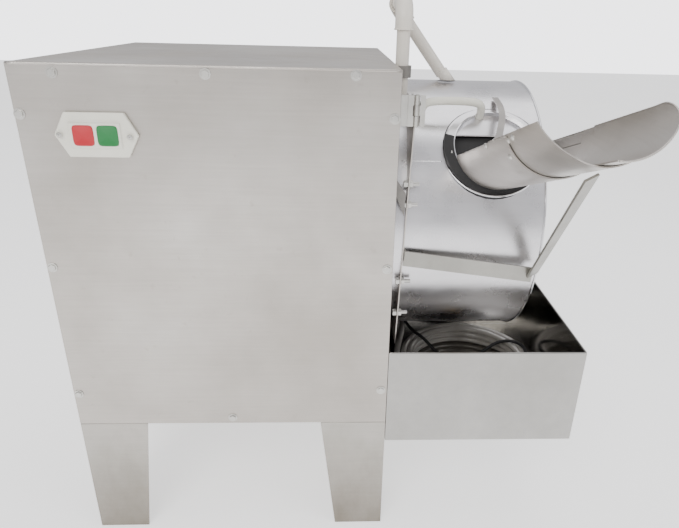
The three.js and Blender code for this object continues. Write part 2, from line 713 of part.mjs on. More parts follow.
function drumHandle() {
  const away = new THREE.Vector3(0, handleY - drumAxisY, handleZ - drumAxisZ).normalize();
  const foot = (x) => drumCentre(x).addScaledVector(away, drumRadius + 1.0);
  const bend = (x, inward) => drumCentre(x + inward).addScaledVector(away, drumRadius + 24);
  const left = drumStart + 40;
  const right = left + 88;
  const points = [foot(left), drumCentre(left).addScaledVector(away, drumRadius + 12), bend(left, 3.5),
    drumCentre(left + 14).addScaledVector(away, drumRadius + 29), drumCentre(right - 14).addScaledVector(away,
      drumRadius + 29), bend(right, -3.5), drumCentre(right).addScaledVector(away, drumRadius + 12), foot(right)];
  return sweep(points.map((p) => p.toArray()), handleRadius, 12, 26);
}

add('drum_handle', drumHandle(), creamPlastic);

// ---- corner gusset beside the flange ----
add('side_gusset', plateY(outline([
  [cabinetWidth + gap, 590], [cabinetWidth + gap, 612], [flangeAt(590) - 4, 590], [flangeAt(560) - 4, 556],
]), 26, 28), dullSteel);

// ---- water pipe ----

// closed tube whose section follows a loop of (distance along the path, radius) pairs, round a flat bend
function hollowSweep(points, loop, normal, sides = 16) {
  const path = new THREE.CatmullRomCurve3(points.map((p) => new THREE.Vector3(...p)), false, 'centripetal');
  const total = path.getLength();
  const flat = [];
  loop.forEach(([distance, radius]) => {
    const share = Math.min(1, Math.max(0, distance / total));
    const centre = path.getPointAt(share);
    const side = new THREE.Vector3().crossVectors(path.getTangentAt(share), normal).normalize();
    for (let k = 0; k < sides; k += 1) {
      const angle = (k / sides) * 2 * Math.PI;
      const spot = centre.clone().addScaledVector(normal, radius * Math.cos(angle));
      flat.push(...spot.addScaledVector(side, radius * Math.sin(angle)).toArray());
    }
  });
  const index = [];
  for (let i = 0; i < loop.length; i += 1) {
    const near = i * sides;
    const far = ((i + 1) % loop.length) * sides;
    for (let k = 0; k < sides; k += 1) {
      const next = (k + 1) % sides;
      index.push(near + k, near + next, far + k, near + next, far + next, far + k);
    }
  }
  const geometry = new THREE.BufferGeometry();
  geometry.setAttribute('position', new THREE.BufferAttribute(new Float32Array(flat), 3));
  geometry.setIndex(index);
  return geometry;
}

// elbow with a socket on its first arm; the pipe that follows is cemented into its second arm
function waterElbow(corner, a, b, run) {
  const tip = (direction, length) => corner.map((value, i) => value + direction[i] * length);
  const turn = [0, 22.5, 45, 67.5, 90].map((angle) => {
    const back = [1 - Math.sin(angle * degrees), 1 - Math.cos(angle * degrees)];
    return corner.map((value, i) => value + elbowBend * (a[i] * back[0] + b[i] * back[1]));
  });
  const before = [elbowArm, elbowArm - 5, elbowArm - 10].map((length) => tip(a, length));
  const after = [elbowArm - 10, elbowArm - 5, elbowArm].map((length) => tip(b, length));
  const points = [...before, ...turn, ...after, tip(b, run)];
  const normal = new THREE.Vector3().crossVectors(new THREE.Vector3(...a), new THREE.Vector3(...b)).normalize();
  const start = elbowArm - elbowBend;
  const end = start + elbowBend * Math.PI / 2;
  const round = [0, 1, 2, 3, 4, 5].map((k) => start + (k / 5) * (end - start));
  const loop = [[0, socketRadius], ...round.map((d) => [d, socketRadius])];
  loop.push([end + start, socketRadius], [end + start, pipeRadius], [1e4, pipeRadius], [1e4, pipeBore]);
  loop.push(...round.reverse().map((d) => [d, pipeBore]));
  loop.push([socketDepth, pipeBore], [socketDepth, pipeRadius + gap], [0, pipeRadius + gap]);
  return hollowSweep(points, loop, normal);
}

function pipe(a, b) {
  return cut(pipeBetween(a, b, pipeRadius), pipeBetween(
    a.map((v, i) => v - (b[i] - v) * 0.05), b.map((v, i) => v + (v - a[i]) * 0.05), pipeBore, 16,
  ));
}

const topElbow = [riserX, riserY, elbowZ];
const rearElbow = [riserX, backRun, elbowZ];
const footElbow = [riserX, riserY, riserBottom];
const drumTop = drumAxisZ + drumRadius;
const slope = Math.hypot(pipeDropX - riserX, elbowZ - drumTop);
const down = [(pipeDropX - riserX) / slope, 0, -(elbowZ - drumTop) / slope];
const step = (from, direction, length) => from.map((value, i) => value + direction[i] * length);

function pipeClip() {
  const z0 = cabinetTop - 19;
  const body = block(cabinetWidth + gap, riserX + 2, riserY - 13.5, riserY + 13.5, z0, z0 + 16);
  const wrap = rodZ(pipeRadius + 4, z0, z0 + 16, riserX, riserY, 24);
  return carve(join(body, wrap), rodZ(pipeRadius + gap, z0 - 5, z0 + 25, riserX, riserY, 24),
    block(cabinetWidth - 20, cabinetWidth + gap, riserY - 30, riserY + 30, z0 - 5, z0 + 25));
}

add('riser_pipe', pipe(step(footElbow, [0, 0, 1], 8.5), step(topElbow, [0, 0, -1], elbowArm - socketDepth + 0.5)), whitePipe);
add('top_elbow', waterElbow(topElbow, [0, 0, -1], [0, 1, 0], backRun - riserY - elbowArm + socketDepth - 0.5), whitePipe);
add('sloping_pipe', waterElbow(rearElbow, [0, -1, 0], down, slope - 13), whitePipe);
add('pipe_clip', pipeClip(), dullSteel);

// curved foot of the riser, through the cabinet side and down to the inlet
function footPipe() {
  const x = cabinetWidth - 30;
  const bend = [
    [riserX, riserY, riserBottom + 7.5], [riserX, riserY, riserBottom + 6], [riserX - 2.5, riserY, riserBottom + 1.5],
    [riserX - 8, riserY, riserBottom], [x + 12, riserY, riserBottom], [x, riserY + 12, riserBottom],
    [x, inletY - 20, riserBottom], [x, inletY, riserBottom - 20], [x, inletY, inletZ + 24],
    [x + 9, inletY, inletZ + 4], [cabinetWidth - 6, inletY, inletZ],
  ];
  return sweep(bend, pipeRadius - 1, 10, 40);
}

function hoseTail() {
  return latheX([
    [0, -sheet - gap - 1], [7.4, -sheet - gap - 1], [7.4, gap], [13, gap], [13, 7], [6, 7], [6, 22], [0, 22],
  ], inletY, inletZ, 24).translate(cabinetWidth, 0, 0);
}

add('supply_pipe', footPipe(), whitePipe);
add('hose_tail', hoseTail(), brass);

// ---- catch tray ----
const trayX = cabinetWidth + 2 * gap;

function catchTray() {
  const x1 = trayX + trayLength;
  return cut(
    block(trayX, x1, 0, trayDepth, trayBottom, trayBottom + trayHeight),
    block(trayX + sheet, x1 - sheet, sheet, trayDepth - sheet, trayBottom + sheet, trayBottom + trayHeight + 5),
    rodX(15, trayX - 5, trayX + 5, inletY, inletZ),
    rodX(15, trayX - 5, trayX + 5, glandY, glandZ),
  );
}

add('catch_tray', catchTray(), mirrorSteel);

// ---- water hose and mains lead, laid in the tray ----
const trayFloor = trayBottom + sheet + gap;
const hoseRadius = 6;
const hoseCoil = { x: 652, y: 200, radius: 116, turns: 2, layers: 3 };
const leadRadius = 3.2;
const leadCoil = { x: 655, y: 160, radius: 36, turns: 3, layers: 2 };

// closed ring that holds the turns of a coil
function coilRing(coil, wireRadius) {
  const half = wireRadius * coil.turns;
  const height = 2 * wireRadius * coil.layers;
  const profile = [
    [coil.radius - half, 0], [coil.radius + half, 0], [coil.radius + half, height], [coil.radius - half, height],
    [coil.radius - half, 0],
  ];
  const ring = new THREE.LatheGeometry(profile.map(([r, z]) => new THREE.Vector2(r, z)), 36);
  return ring.rotateX(Math.PI / 2).translate(coil.x, coil.y, trayFloor);
}

const hosePath = [
  [502.6, 345, 300], [512, 345, 300], [523, 343, 296], [532, 336, 284], [536, 325, 266], [537, 311, 248],
  [537, 297, 235], [536, 283, 227.5], [533.5, 268, 225], [531, 253, 224.6],
];
const leadPath = [
  [506, 300, 265], [515, 300, 264], [528, 297, 257], [540, 290, 244], [549, 282, 231], [556, 275, 225],
  [565, 267, 223.5], [576, 258, 221], [589, 249, 208], [604, 241, 194], [621, 234, 186.5], [642, 230, 185.8],
  [662, 227, 188], [680, 226, 197], [697, 227, 210], [713, 232, 220.5], [729, 239, 222.5], [744, 243, 222.5],
  [758, 240, 222.5], [768, 229, 222.5], [771.5, 213, 222.5], [769, 197, 222.5], [763, 184, 222.5], [753, 177, 222.5],
  [742, 175, 215], [730, 178, 200], [717, 185, 188.4], [704, 192.5, 185.2], [691, 198.5, 185],
];

function cableGland() {
  const nut = rodX(11, cabinetWidth + gap, cabinetWidth + 9, glandY, glandZ, 6);
  const thread = rodX(8, cabinetWidth - 10, cabinetWidth + 1, glandY, glandZ, 24);
  const relief = latheX([[0, 8], [9, 8], [4.6, 25.5], [0, 25.5]], glandY, glandZ, 24);
  return join(nut, thread, relief.translate(cabinetWidth, 0, 0));
}

// moulded plug with three flat blades, lying beside its coil
function mainsPlug() {
  const x = leadCoil.x - 67;
  const y = leadCoil.y + 26;
  const z = trayFloor + 15;
  return join(
    block(x - 17, x + 17, y - 19, y + 19, z - 15, z + 13),
    block(x - 9, x + 9, y + 18, y + 21, z - 9, z + 9),
    block(x - 9, x - 3, y - 36, y - 18, z - 1, z + 1),
    block(x + 3, x + 9, y - 36, y - 18, z - 1, z + 1),
    block(x - 1, x + 1, y - 38, y - 18, z + 5, z + 11),
    block(x + 16, x + 21, y - 4, y + 4, z - 6, z + 4),
  );
}

function hoseCoupling() {
  const x = hoseCoil.x - 31;
  const y = hoseCoil.y - 93.5;
  const z = trayFloor + 2 * hoseRadius * hoseCoil.layers + 11;
  return carve(
    join(rodX(11, x - 18, x, y, z, 6), rodX(7.5, x - 1, x + 12, y, z, 24)),
    rodX(7, x - 25, x - 4, y, z, 20),
  );
}

add('cable_gland', cableGland(), blackRubber);
add('water_hose', sweep(hosePath, hoseRadius, 10, 24), clearHose);
add('water_hose_coil', coilRing(hoseCoil, hoseRadius), clearHose);
add('hose_coupling', hoseCoupling(), brass);
add('mains_lead', sweep(leadPath, leadRadius, 8, 44), blackRubber);
add('mains_lead_coil', coilRing(leadCoil, leadRadius), blackRubber);
add('mains_plug', mainsPlug(), blackRubber);

// ---- stand the machine over the middle of its own footprint ----
const cords = ['water_hose', 'water_hose_coil', 'hose_coupling', 'mains_lead', 'mains_lead_coil', 'mains_plug'];
machine.updateMatrixWorld(true);
const footprint = new THREE.Box3();
for (const mesh of machine.children) {
  if (!cords.includes(mesh.name)) footprint.expandByObject(mesh, true);
}
const middle = footprint.getCenter(new THREE.Vector3());
machine.position.set(-middle.x, -middle.y, -footprint.min.z);

export default machine;
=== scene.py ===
import bmesh
import bpy
import json
import math
import numpy as np
from mathutils import Matrix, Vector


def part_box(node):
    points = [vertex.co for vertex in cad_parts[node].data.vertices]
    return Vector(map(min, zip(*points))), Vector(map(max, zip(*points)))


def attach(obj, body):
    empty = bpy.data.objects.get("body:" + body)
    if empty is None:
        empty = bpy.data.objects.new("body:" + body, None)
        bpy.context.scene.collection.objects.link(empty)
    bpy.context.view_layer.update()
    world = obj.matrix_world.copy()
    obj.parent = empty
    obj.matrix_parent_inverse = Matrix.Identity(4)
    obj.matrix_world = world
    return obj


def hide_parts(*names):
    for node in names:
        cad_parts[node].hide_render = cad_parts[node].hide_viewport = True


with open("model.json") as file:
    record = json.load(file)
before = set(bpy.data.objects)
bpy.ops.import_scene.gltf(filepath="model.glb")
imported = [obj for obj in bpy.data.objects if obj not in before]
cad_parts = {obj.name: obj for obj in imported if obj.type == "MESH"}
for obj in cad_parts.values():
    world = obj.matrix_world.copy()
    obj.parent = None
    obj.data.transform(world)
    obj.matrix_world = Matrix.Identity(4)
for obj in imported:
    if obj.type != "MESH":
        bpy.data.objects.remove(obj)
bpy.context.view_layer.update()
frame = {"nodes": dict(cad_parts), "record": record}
bodyOf = {node: body for body, nodes in frame["record"]["behaviour"]["bodies"].items() for node in nodes}
cabinetCorner = np.array(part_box("front_panel")[0]) - np.array([0.0, 0.0, 0.217])  # front left corner, on the floor
print("frame loaded")


def at(points):  # millimetres from the cabinet's front left floor corner, to the frame in metres
    return cabinetCorner + np.asarray(points, dtype=float) / 1000.0


# camera
camera = {
    "place": (398.95, -742.15, 818.44),
    "right": (0.99893, -0.03941, 0.02419),
    "up": (-0.00637, 0.40075, 0.91616),
    "lens": 30.45,
    "shiftX": -0.0334,
}


def makeCamera():
    data = bpy.data.cameras.new("viewer")
    data.lens = camera["lens"]
    data.sensor_width = 36.0
    data.shift_x = camera["shiftX"]
    data.clip_start = 0.02
    viewer = bpy.data.objects.new("viewer", data)
    right = np.array(camera["right"])
    up = np.array(camera["up"])
    turn = np.eye(4)
    turn[:3, 0], turn[:3, 1], turn[:3, 2] = right, up, np.cross(right, up)
    turn[:3, 3] = at(camera["place"])
    viewer.matrix_world = Matrix(turn.tolist())
    bpy.context.scene.collection.objects.link(viewer)
    bpy.context.scene.camera = viewer


makeCamera()
print("camera placed")


# surfaces
def gridFaces(rows, columns, closeRows, closeColumns):  # quads between neighbouring grid points, wrapped where closed
    i = np.arange(rows if closeRows else rows - 1)
    j = np.arange(columns if closeColumns else columns - 1)
    i, j = np.meshgrid(i, j, indexing="ij")
    i2, j2 = (i + 1) % rows, (j + 1) % columns
    corners = [i * columns + j, i2 * columns + j, i2 * columns + j2, i * columns + j2]
    return np.stack(corners, axis=-1).reshape(-1, 4)


def makePiece(name, points, body, closeRows=False, closeColumns=False, caps=False, flip=False, uv=None):
    # points is a grid (rows, columns, 3); caps closes the first and the last row with a face each
    rows, columns = points.shape[:2]
    faces = gridFaces(rows, columns, closeRows, closeColumns)
    if flip:
        faces = faces[:, ::-1]
    faceList = faces.tolist()
    if caps:
        first, last = list(range(columns)), list(range((rows - 1) * columns, rows * columns))
        faceList += [first, last[::-1]] if not flip else [first[::-1], last]
    mesh = bpy.data.meshes.new(name)
    mesh.from_pydata(points.reshape(-1, 3).tolist(), [], faceList)
    mesh.polygons.foreach_set("use_smooth", np.ones(len(faceList), dtype=bool))
    if uv is not None:
        layer = mesh.uv_layers.new(name="along")
        index = np.zeros(len(mesh.loops), dtype=np.int32)
        mesh.loops.foreach_get("vertex_index", index)
        layer.data.foreach_set("uv", uv.reshape(-1, 2)[index].ravel())
    mesh.update()
    return placePiece(name, mesh, body)


def placePiece(name, mesh, body):
    piece = bpy.data.objects.new(name, mesh)
    bpy.context.scene.collection.objects.link(piece)
    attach(piece, body)
    return piece


def frames(path, reference=(0.0, 0.0, 1.0)):  # unit tangent, side and lift vectors at each point of a path
    tangent = np.gradient(path, axis=0)
    tangent /= np.linalg.norm(tangent, axis=1, keepdims=True)
    side = np.cross(tangent, np.asarray(reference, dtype=float))
    side /= np.linalg.norm(side, axis=1, keepdims=True)
    return tangent, side, np.cross(side, tangent)


def tubePoints(path, radius, sides=16, reference=(0.0, 0.0, 1.0)):
    # ring of the given radius square to the path at each of its points: centre + r (cos a side + sin a lift)
    tangent, side, lift = frames(path, reference)
    angle = np.linspace(0, 2 * np.pi, sides, endpoint=False)
    radius = np.broadcast_to(np.asarray(radius, dtype=float), (len(path),))[:, None, None]
    ring = np.cos(angle)[None, :, None] * side[:, None, :] + np.sin(angle)[None, :, None] * lift[:, None, :]
    return path[:, None, :] + radius * ring


def smoothPath(points, spacing):  # centripetal-like cubic through the points, resampled at even steps
    points = np.asarray(points, dtype=float)
    step = np.linalg.norm(np.diff(points, axis=0), axis=1)
    knots = np.concatenate([[0], np.cumsum(step)])
    slope = np.gradient(points, knots, axis=0)
    fine = np.linspace(0, knots[-1], max(int(knots[-1] / spacing) * 4, 8))
    k = np.clip(np.searchsorted(knots, fine, side="right") - 1, 0, len(knots) - 2)
    h = (knots[k + 1] - knots[k])[:, None]
    t = ((fine - knots[k]) / h[:, 0])[:, None]
    curve = (2 * t**3 - 3 * t**2 + 1) * points[k] + (t**3 - 2 * t**2 + t) * h * slope[k]
    curve += (-2 * t**3 + 3 * t**2) * points[k + 1] + (t**3 - t**2) * h * slope[k + 1]
    along = np.concatenate([[0], np.cumsum(np.linalg.norm(np.diff(curve, axis=0), axis=1))])
    even = np.linspace(0, along[-1], max(int(along[-1] / spacing), 6))
    return np.stack([np.interp(even, along, curve[:, axis]) for axis in range(3)], axis=1), float(along[-1])


def ringPath(centre, radius, normal, count=96):  # points round a circle
    normal = np.asarray(normal, dtype=float) / np.linalg.norm(normal)
    helper = np.array([1.0, 0, 0]) if abs(normal[0]) < 0.8 else np.array([0, 1.0, 0])
    across = np.cross(normal, helper)
    across /= np.linalg.norm(across)
    other = np.cross(normal, across)
    angle = np.linspace(0, 2 * np.pi, count, endpoint=False)[:, None]
    return np.asarray(centre) + radius * (np.cos(angle) * across + np.sin(angle) * other)


def ringTube(name, centre, radius, normal, section, body, count=96, sides=12):
    # torus: a small circle of radius section carried round a circle about the given normal
    path = ringPath(centre, radius, normal, count)
    normal = np.asarray(normal, dtype=float) / np.linalg.norm(normal)
    outward = (path - np.asarray(centre)) / radius
    angle = np.linspace(0, 2 * np.pi, sides, endpoint=False)[None, :, None]
    points = path[:, None, :] + section * (np.cos(angle) * outward[:, None, :] + np.sin(angle) * normal)
    return makePiece(name, points, body, closeRows=True, closeColumns=True)


def turned(profile, centre, axis, sides=32):  # profile of (radius, height) pairs turned about an axis
    axis = np.asarray(axis, dtype=float) / np.linalg.norm(axis)
    profile = np.asarray(profile, dtype=float)
    helper = np.array([1.0, 0, 0]) if abs(axis[0]) < 0.8 else np.array([0, 1.0, 0])
    across = np.cross(axis, helper)
    across /= np.linalg.norm(across)
    other = np.cross(axis, across)
    angle = np.linspace(0, 2 * np.pi, sides, endpoint=False)
    ring = np.cos(angle)[None, :, None] * across + np.sin(angle)[None, :, None] * other
    return np.asarray(centre) + profile[:, 0, None, None] * ring + profile[:, 1, None, None] * axis


def smoothCopy(node, bevel=0.0, angle=32.0):  # merged copy of a CAD node with soft edges and smooth rounds
    source = frame["nodes"][node]
    mesh = source.data.copy()
    mesh.name = node + "_finished"
    piece = placePiece(node + "_finished", mesh, bodyOf[node])
    shape = bmesh.new()
    shape.from_mesh(mesh)
    bmesh.ops.remove_doubles(shape, verts=shape.verts, dist=1e-6)
    bmesh.ops.dissolve_limit(shape, angle_limit=math.radians(0.4), verts=shape.verts, edges=shape.edges)
    for edge in shape.edges:
        edge.smooth = edge.calc_face_angle(0.0) < math.radians(angle)
    for face in shape.faces:
        face.smooth = True
    shape.to_mesh(mesh)
    shape.free()
    if bevel > 0:
        rounding = piece.modifiers.new("edges", "BEVEL")
        rounding.width = bevel / 1000.0
        rounding.segments = 2
        rounding.limit_method = "ANGLE"
        rounding.angle_limit = math.radians(angle)
        rounding.harden_normals = False
    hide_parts(node)
    return piece


# materials
def nodeIn(tree, kind, **values):
    node = tree.nodes.new(kind)
    for key, value in values.items():
        if key in node.inputs:
            node.inputs[key].default_value = value
        else:
            setattr(node, key, value)
    return node


def noiseOn(tree, coordinates, scale, detail=4.0, stretch=(1, 1, 1), rough=0.55):
    place = nodeIn(tree, "ShaderNodeMapping")
    place.inputs["Scale"].default_value = stretch
    tree.links.new(coordinates, place.inputs["Vector"])
    noise = nodeIn(tree, "ShaderNodeTexNoise", Scale=scale, Detail=detail, Roughness=rough)
    tree.links.new(place.outputs[0], noise.inputs["Vector"])
    return noise.outputs["Fac"]


def ramp(tree, value, stops):
    node = nodeIn(tree, "ShaderNodeValToRGB")
    tree.links.new(value, node.inputs["Fac"])
    elements = node.color_ramp.elements
    while len(elements) < len(stops):
        elements.new(0.5)
    for element, (place, colour) in zip(elements, stops):
        element.position = place
        element.color = (*colour, 1.0)
    return node.outputs["Color"]


def mixColour(tree, amount, first, second, kind="MIX"):
    node = nodeIn(tree, "ShaderNodeMix", data_type="RGBA", blend_type=kind)
    for socket, value in ((node.inputs[0], amount), (node.inputs[6], first), (node.inputs[7], second)):
        if isinstance(value, (int, float)):
            socket.default_value = value
        elif isinstance(value, tuple):
            socket.default_value = (*value, 1.0)
        else:
            tree.links.new(value, socket)
    return node.outputs[2]


def mapValue(tree, value, low, high, toLow, toHigh):
    node = nodeIn(tree, "ShaderNodeMapRange")
    for socket, amount in zip(list(node.inputs)[1:5], (low, high, toLow, toHigh)):
        socket.default_value = amount
    tree.links.new(value, node.inputs[0])
    return node.outputs[0]


def finish(name, base, varied, rough, roughSpread=0.06, metallic=0.0, grain=None, grainBump=0.0, blotch=9.0, bump=0.0,
           bumpScale=300.0, stain=None, stainFrom=None, stainTo=None, stainAmount=0.7, spots=None, coat=0.0,
           specular=0.5, anisotropic=0.0, transmission=0.0, alpha=1.0):
    # one surface: colour varied by slow noise, fine grain lines, a stain that grows towards one height, and its gloss
    material = bpy.data.materials.new(name)
    material.use_nodes = True
    tree = material.node_tree
    shader = tree.nodes["Principled BSDF"]
    coordinates = nodeIn(tree, "ShaderNodeTexCoord").outputs["Object"]
    slow = noiseOn(tree, coordinates, blotch, 5.0)
    colour = ramp(tree, slow, [(0.32, base), (0.68, varied)])
    height = None
    lines = None
    if grain is not None:
        lines = noiseOn(tree, coordinates, 6.0, 6.0, grain, 0.7)
        colour = mixColour(tree, mapValue(tree, lines, 0.3, 0.7, 0.0, 0.22), colour, tuple(c * 0.72 for c in base))
    if stain is not None:
        split = nodeIn(tree, "ShaderNodeSeparateXYZ")
        tree.links.new(coordinates, split.inputs[0])
        patchy = noiseOn(tree, coordinates, 14.0, 8.0, (1, 1, 0.5), 0.65)
        level = nodeIn(tree, "ShaderNodeMath", operation="MULTIPLY_ADD")
        tree.links.new(patchy, level.inputs[0])
        level.inputs[1].default_value = (stainTo - stainFrom) * 0.9
        tree.links.new(split.outputs[2], level.inputs[2])
        middle = (stainTo - stainFrom) * 0.45
        amount = mapValue(tree, level.outputs[0], stainFrom + middle, stainTo + middle, 0.0, stainAmount)
        colour = mixColour(tree, amount, colour, stain)
    if spots is not None:
        fleck = noiseOn(tree, coordinates, 60.0, 3.0)
        colour = mixColour(tree, mapValue(tree, fleck, 0.66, 0.76, 0.0, 0.55), colour, spots)
    tree.links.new(colour, shader.inputs["Base Color"])
    gloss = noiseOn(tree, coordinates, 22.0, 6.0)
    roughness = mapValue(tree, gloss, 0.3, 0.7, rough - roughSpread, rough + roughSpread)
    tree.links.new(roughness, shader.inputs["Roughness"])
    shader.inputs["Metallic"].default_value = metallic
    shader.inputs["Specular IOR Level"].default_value = specular
    shader.inputs["Coat Weight"].default_value = coat
    shader.inputs["Anisotropic"].default_value = anisotropic
    shader.inputs["Transmission Weight"].default_value = transmission
    shader.inputs["Alpha"].default_value = alpha
    if grainBump > 0 and lines is not None:
        height = nodeIn(tree, "ShaderNodeBump", Strength=grainBump, Distance=0.0004)
        tree.links.new(lines, height.inputs["Height"])
    if bump > 0:
        fine = noiseOn(tree, coordinates, bumpScale, 3.0)
        second = nodeIn(tree, "ShaderNodeBump", Strength=bump, Distance=0.0006)
        tree.links.new(fine, second.inputs["Height"])
        if height is not None:
            tree.links.new(height.outputs[0], second.inputs["Normal"])
        height = second
    if height is not None:
        tree.links.new(height.outputs[0], shader.inputs["Normal"])
    return material


floorHeight = float(cabinetCorner[2])
finishes = {
    "sheet_steel": finish("satinSheet", (0.43, 0.395, 0.355), (0.60, 0.57, 0.535), 0.36, 0.07, 0.92,
                          grain=(1.2, 1.2, 42.0), grainBump=0.10, blotch=3.5, anisotropic=0.3,
                          spots=(0.42, 0.38, 0.34)),
    "legSteel": finish("legSheet", (0.44, 0.42, 0.38), (0.54, 0.51, 0.47), 0.42, 0.08, 0.75, grain=(1.2, 1.2, 30.0),
                       grainBump=0.10, blotch=5.0, stain=(0.17, 0.145, 0.11), stainFrom=0.20, stainTo=-0.02,
                       stainAmount=0.85),
    "bright_steel": finish("polishedSteel", (0.66, 0.655, 0.67), (0.77, 0.765, 0.78), 0.17, 0.07, 1.0,
                           grain=(1.0, 14.0, 14.0), grainBump=0.035, blotch=4.0),
    "drumSteel": finish("satinDrum", (0.69, 0.675, 0.69), (0.79, 0.78, 0.80), 0.29, 0.06, 1.0, grain=(1.0, 14.0, 14.0),
                        grainBump=0.04, blotch=4.0),
    "strutSteel": finish("greyStrut", (0.30, 0.29, 0.26), (0.40, 0.39, 0.36), 0.36, 0.07, 0.8,
                         grain=(10, 10, 10), grainBump=0.08),
    "traySteel": finish("mirrorTray", (0.37, 0.36, 0.34), (0.47, 0.46, 0.44), 0.13, 0.06, 1.0,
                        grain=(8.0, 1.0, 8.0), grainBump=0.03, blotch=4.0),
    "dull_steel": finish("darkBar", (0.19, 0.18, 0.165), (0.27, 0.255, 0.24), 0.46, 0.08, 0.7, grain=(10, 10, 10),
                         grainBump=0.08, bump=0.12),
    "zinc_steel": finish("zincPlate", (0.50, 0.49, 0.46), (0.62, 0.61, 0.58), 0.34, 0.08, 0.9, blotch=40.0, bump=0.06),
    "cast_iron": finish("castIron", (0.05, 0.05, 0.052), (0.08, 0.078, 0.075), 0.62, 0.08, 0.6, bump=0.5,
                        bumpScale=420.0),
    "motor_paint": finish("motorPaint", (0.055, 0.12, 0.19), (0.075, 0.15, 0.23), 0.42, 0.07, bump=0.2,
                          bumpScale=500.0, coat=0.15),
    "black_rubber": finish("blackRubber", (0.012, 0.012, 0.013), (0.026, 0.025, 0.025), 0.58, 0.10, bump=0.18,
                           bumpScale=600.0, specular=0.35),
    "black_plastic": finish("blackPlastic", (0.014, 0.014, 0.016), (0.022, 0.022, 0.024), 0.42, 0.06, bump=0.12,
                            bumpScale=700.0),
    "white_pipe": finish("pipePlastic", (0.70, 0.655, 0.575), (0.78, 0.74, 0.67), 0.33, 0.05, blotch=12.0, coat=0.12,
                         spots=(0.50, 0.42, 0.32)),
    "cream_plastic": finish("creamPlastic", (0.74, 0.725, 0.63), (0.80, 0.785, 0.70), 0.34, 0.04, blotch=25.0,
                            bump=0.04, bumpScale=800.0, coat=0.1),
    "red_plastic": finish("redPlastic", (0.40, 0.008, 0.015), (0.48, 0.012, 0.022), 0.34, 0.04, coat=0.1, bump=0.03),
    "green_plastic": finish("greenPlastic", (0.003, 0.14, 0.028), (0.006, 0.18, 0.040), 0.34, 0.04, coat=0.1,
                            bump=0.03),
    "brass": finish("brass", (0.55, 0.37, 0.12), (0.66, 0.46, 0.17), 0.32, 0.07, 1.0, blotch=30.0),
    "hose_plastic": finish("clearHose", (0.50, 0.47, 0.43), (0.60, 0.57, 0.53), 0.22, 0.05, coat=0.3,
                           transmission=0.35),
}
print("materials made")


def dress(piece, slot, material=None):
    piece.data.materials.clear()
    piece.data.materials.append(material or finishes[slot])
    return piece


# cords
hose = {
    "radius": 6.0,
    "easing": 150,
    "free": [[502.6, 345, 300], [512, 345, 300], [523, 343, 296], [532, 336, 284], [536, 325, 266], [537, 311, 248],
             [537, 297, 235], [536, 283, 227.5], [533.5, 268, 225], [531, 253, 224.6]],
    "centre": (652, 200),
    "entry": [(166, 134.2, 222), (178, 135.5, 213), (190, 135.5, 202), (203, 134.5, 192), (216, 131.5, 187.9),
              (229, 127, 187.8), (241, 123.4, 187.8)],
    "slots": [(122, 187.8), (110, 187.8), (110, 199.8), (122, 199.8), (122, 211.8), (110, 211.8)],
    "begin": 252,
    "firstStep": 375,
    "stepBack": 320,
    "stepWidth": 30,
    "lead": 12,
    "shortest": 40,
    "leave": [(187, 111, 214), (199, 112.6, 220), (211, 114.6, 226), (222, 116, 228.8)],
    "end": [[575, 114.6, 228.8], [587, 108.6, 228.8], [599, 106.6, 228.8], [612, 106.5, 228.8]],
}
lead = {
    "radius": 3.2,
    "easing": 50,
    "free": [[506, 300, 265], [515, 300, 264], [528, 297, 257], [540, 290, 244], [549, 282, 231], [556, 275, 225],
             [565, 267, 223.5], [576, 258, 221], [589, 249, 208], [604, 241, 194], [621, 234, 186.5],
             [642, 230, 185.8], [662, 227, 188], [680, 226, 197], [697, 227, 210], [713, 232, 220.5], [729, 239, 222.5],
             [744, 243, 222.5],
             [758, 240, 222.5], [768, 229, 222.5], [771.5, 213, 222.5], [769, 197, 222.5], [763, 184, 222.5],
             [753, 177, 222.5], [742, 175, 215], [730, 178, 200], [717, 185, 188.4], [704, 192.5, 185.2],
             [691, 198.5, 185]],
    "centre": (655, 160),
    "entry": [(69, 43.2, 185.0), (80, 42.6, 185.0)],
    "slots": [(42.4, 185.0), (36, 185.0), (29.6, 185.0), (29.6, 191.4), (36, 191.4), (42.4, 191.4)],
    "begin": 92,
    "firstStep": 400,
    "stepBack": 320,
    "stepWidth": 34,
    "lead": 12,
    "shortest": 40,
    "leave": [(79, 42.4, 191.4), (90, 42.6, 191.6)],
    "end": [[645, 201.6, 192.2], [635, 197.8, 193.4], [625, 192, 195], [615, 187.4, 195.8], [607, 186, 195.8]],
}


def coilRoute(cord):  # free part, then turns slot by slot: each is held for most of a turn, then steps to the next
    x, y = cord["centre"]
    steps = [cord["firstStep"] + k * cord["stepBack"] for k in range(len(cord["slots"]))]
    polar = list(cord["entry"])
    begin = cord["begin"]
    leaveAngle = cord["leave"][0][0]
    for k, (radius, height) in enumerate(cord["slots"]):
        last = k == len(cord["slots"]) - 1
        stop = steps[k]
        if last:
            stop = leaveAngle + 360 * math.floor((steps[k] - leaveAngle) / 360 + 0.5) - cord["lead"]
            while stop < begin + cord["shortest"]:
                stop += 360
        polar += [(angle, radius, height) for angle in np.linspace(begin, stop, max(int((stop - begin) / 15), 3))]
        if not last:
            begin = stop + cord["stepWidth"]
    turnsDone = round((stop + cord["lead"] - leaveAngle) / 360) * 360
    polar += [(angle + turnsDone, radius, height) for angle, radius, height in cord["leave"]]
    polar = np.array(polar, dtype=float)
    angle = np.radians(polar[:, 0])
    coiled = np.stack([x + polar[:, 1] * np.cos(angle), y + polar[:, 1] * np.sin(angle), polar[:, 2]], axis=1)
    return np.vstack([np.array(cord["free"], dtype=float), coiled, np.array(cord["end"], dtype=float)])


